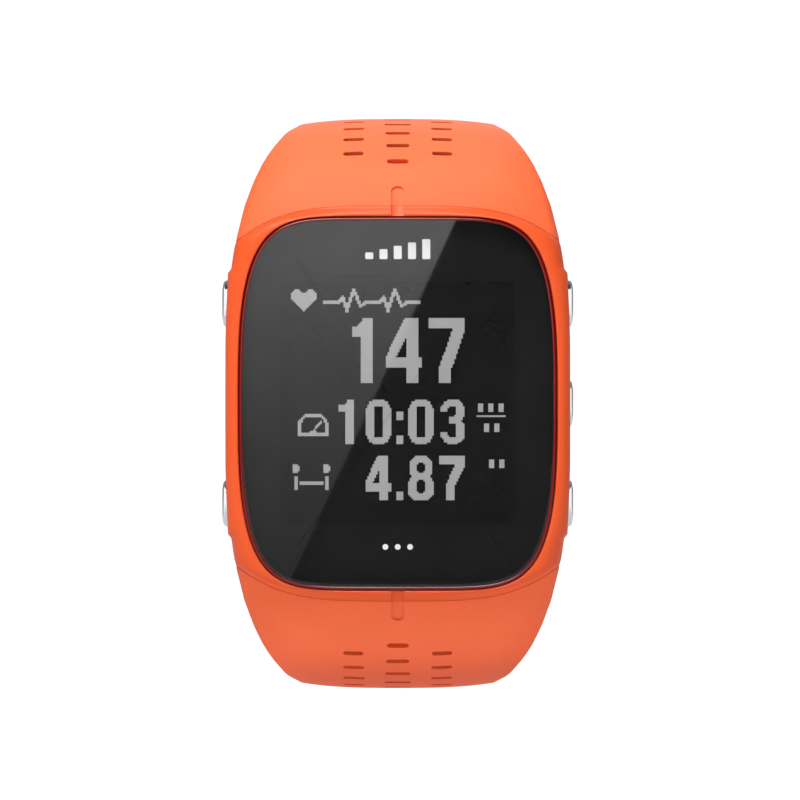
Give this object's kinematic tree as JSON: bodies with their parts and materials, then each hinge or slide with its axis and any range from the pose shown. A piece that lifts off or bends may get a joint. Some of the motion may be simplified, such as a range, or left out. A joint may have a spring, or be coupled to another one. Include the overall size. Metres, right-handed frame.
{
  "type": "gps running watch",
  "caption": "Digital sports watch with a tall rounded-square lens, polished side buttons and soft slotted straps closed by a tang buckle.",
  "frame": {"origin": "centre of the lens's flat front face", "axes": "the watch faces -Y, 12 o'clock is +Z, and the three-button side is +X"},
  "size_m": [0.037, 0.0746, 0.06],
  "materials": {
    "case_orange_polymer": "satin moulded",
    "strap_orange_silicone": "fine matte",
    "keeper_orange_silicone": "fine matte",
    "ring_red_anodised": "anodised",
    "lens_glass": "polished",
    "gasket_rubber": "matte",
    "display_panel_dark": "smooth",
    "flex_polyimide": "smooth",
    "frontlight_diffuser": "smooth",
    "chassis_polymer": "moulded",
    "board_green": "solder mask",
    "chip_epoxy": "moulded",
    "shield_tin": "tinned",
    "antenna_ceramic": "fired",
    "battery_foil": "foil",
    "motor_steel": "drawn",
    "weight_tungsten": "sintered",
    "switch_body": "moulded",
    "back_cover_polymer": "moulded",
    "screw_steel": "turned",
    "sensor_window": "polished",
    "led_green": "lens",
    "photodiode_silicon": "polished",
    "contact_gold": "gold plated",
    "button_polished_steel": "polished",
    "spring_bar_steel": "turned",
    "buckle_brushed_steel": "brushed"
  },
  "bodies": {
    "case": {"back_cover": "back_cover_polymer", "back_gasket": "gasket_rubber", "back_screw_1": "screw_steel", "back_screw_2": "screw_steel", "back_screw_3": "screw_steel", "back_screw_4": "screw_steel", "battery_cell": "battery_foil", "battery_lead": "flex_polyimide", "bezel_frame": "case_orange_polymer", "charge_contact_1": "contact_gold", "charge_contact_2": "contact_gold", "charge_contact_3": "contact_gold", "charge_contact_4": "contact_gold", "frontlight_bar": "frontlight_diffuser", "gps_antenna": "antenna_ceramic", "inner_chassis": "chassis_polymer", "lcd_flex_cable": "flex_polyimide", "lcd_panel": "display_panel_dark", "left_switch_flex": "flex_polyimide", "lens_accent_ring": "ring_red_anodised", "lens_crystal": "lens_glass", "lens_gasket": "gasket_rubber", "lower_strap_pin": "spring_bar_steel", "main_board": "board_green", "photodiode": "photodiode_silicon", "processor_chip": "chip_epoxy", "right_switch_flex": "flex_polyimide", "seal_back": "gasket_rubber", "seal_down": "gasket_rubber", "seal_light": "gasket_rubber", "seal_start": "gasket_rubber", "seal_up": "gasket_rubber", "sensor_barrier": "gasket_rubber", "sensor_board": "board_green", "sensor_led_1": "led_green", "sensor_led_2": "led_green", "sensor_led_3": "led_green", "sensor_led_4": "led_green", "sensor_window": "sensor_window", "shield_can": "shield_tin", "switch_back": "switch_body", "switch_down": "switch_body", "switch_light": "switch_body", "switch_start": "switch_body", "switch_up": "switch_body", "upper_strap_pin": "spring_bar_steel", "vibration_motor": "motor_steel"},
    "upper_strap_body": {"upper_strap": "strap_orange_silicone", "buckle_pin": "spring_bar_steel"},
    "lower_strap_body": {"lower_strap": "strap_orange_silicone"},
    "buckle_body": {"buckle_frame": "buckle_brushed_steel"},
    "tang_body": {"buckle_tang": "buckle_brushed_steel"},
    "keeper_body": {"strap_keeper": "keeper_orange_silicone"},
    "weight_body": {"vibration_weight": "weight_tungsten"},
    "button_light_body": {"button_light": "button_polished_steel"},
    "button_back_body": {"button_back": "button_polished_steel"},
    "button_up_body": {"button_up": "button_polished_steel"},
    "button_start_body": {"button_start": "button_polished_steel"},
    "button_down_body": {"button_down": "button_polished_steel"}
  },
  "joints": [
    {"name": "press_light", "type": "slide", "parent": "case", "child": "button_light_body", "axis": [1, 0, 0], "range_m": [0, 0.0005]},
    {"name": "press_back", "type": "slide", "parent": "case", "child": "button_back_body", "axis": [1, 0, 0], "range_m": [0, 0.0005]},
    {"name": "press_up", "type": "slide", "parent": "case", "child": "button_up_body", "axis": [-1, 0, 0], "range_m": [0, 0.0005]},
    {"name": "press_start", "type": "slide", "parent": "case", "child": "button_start_body", "axis": [-1, 0, 0], "range_m": [0, 0.0005]},
    {"name": "press_down", "type": "slide", "parent": "case", "child": "button_down_body", "axis": [-1, 0, 0], "range_m": [0, 0.0005]},
    {"name": "upper_strap_swing", "type": "hinge", "parent": "case", "child": "upper_strap_body", "pos_m": [0, 0.00587, 0.0238], "axis": [1, 0, 0], "range_deg": [-4, 55], "stiffness_Nm_per_rad": 0.1},
    {"name": "lower_strap_swing", "type": "hinge", "parent": "case", "child": "lower_strap_body", "pos_m": [0, 0.00587, -0.0238], "axis": [-1, 0, 0], "range_deg": [-4, 55], "stiffness_Nm_per_rad": 0.1},
    {"name": "buckle_swing", "type": "hinge", "parent": "upper_strap_body", "child": "buckle_body", "pos_m": [0, 0.04449, 0.00332], "axis": [1, 0, 0], "range_deg": [-35, 35]},
    {"name": "tang_lift", "type": "hinge", "parent": "buckle_body", "child": "tang_body", "pos_m": [0, 0.04449, 0.00332], "axis": [1, 0, 0], "range_deg": [0, 70]},
    {"name": "keeper_slide", "type": "slide", "parent": "upper_strap_body", "child": "keeper_body", "axis": [0, 0.4126, -0.9109], "range_m": [-0.002, 0.002]},
    {"name": "weight_spin", "type": "hinge", "parent": "case", "child": "weight_body", "pos_m": [0.00235, 0.007, 0.0141], "axis": [1, 0, 0], "continuous": true}
  ]
}
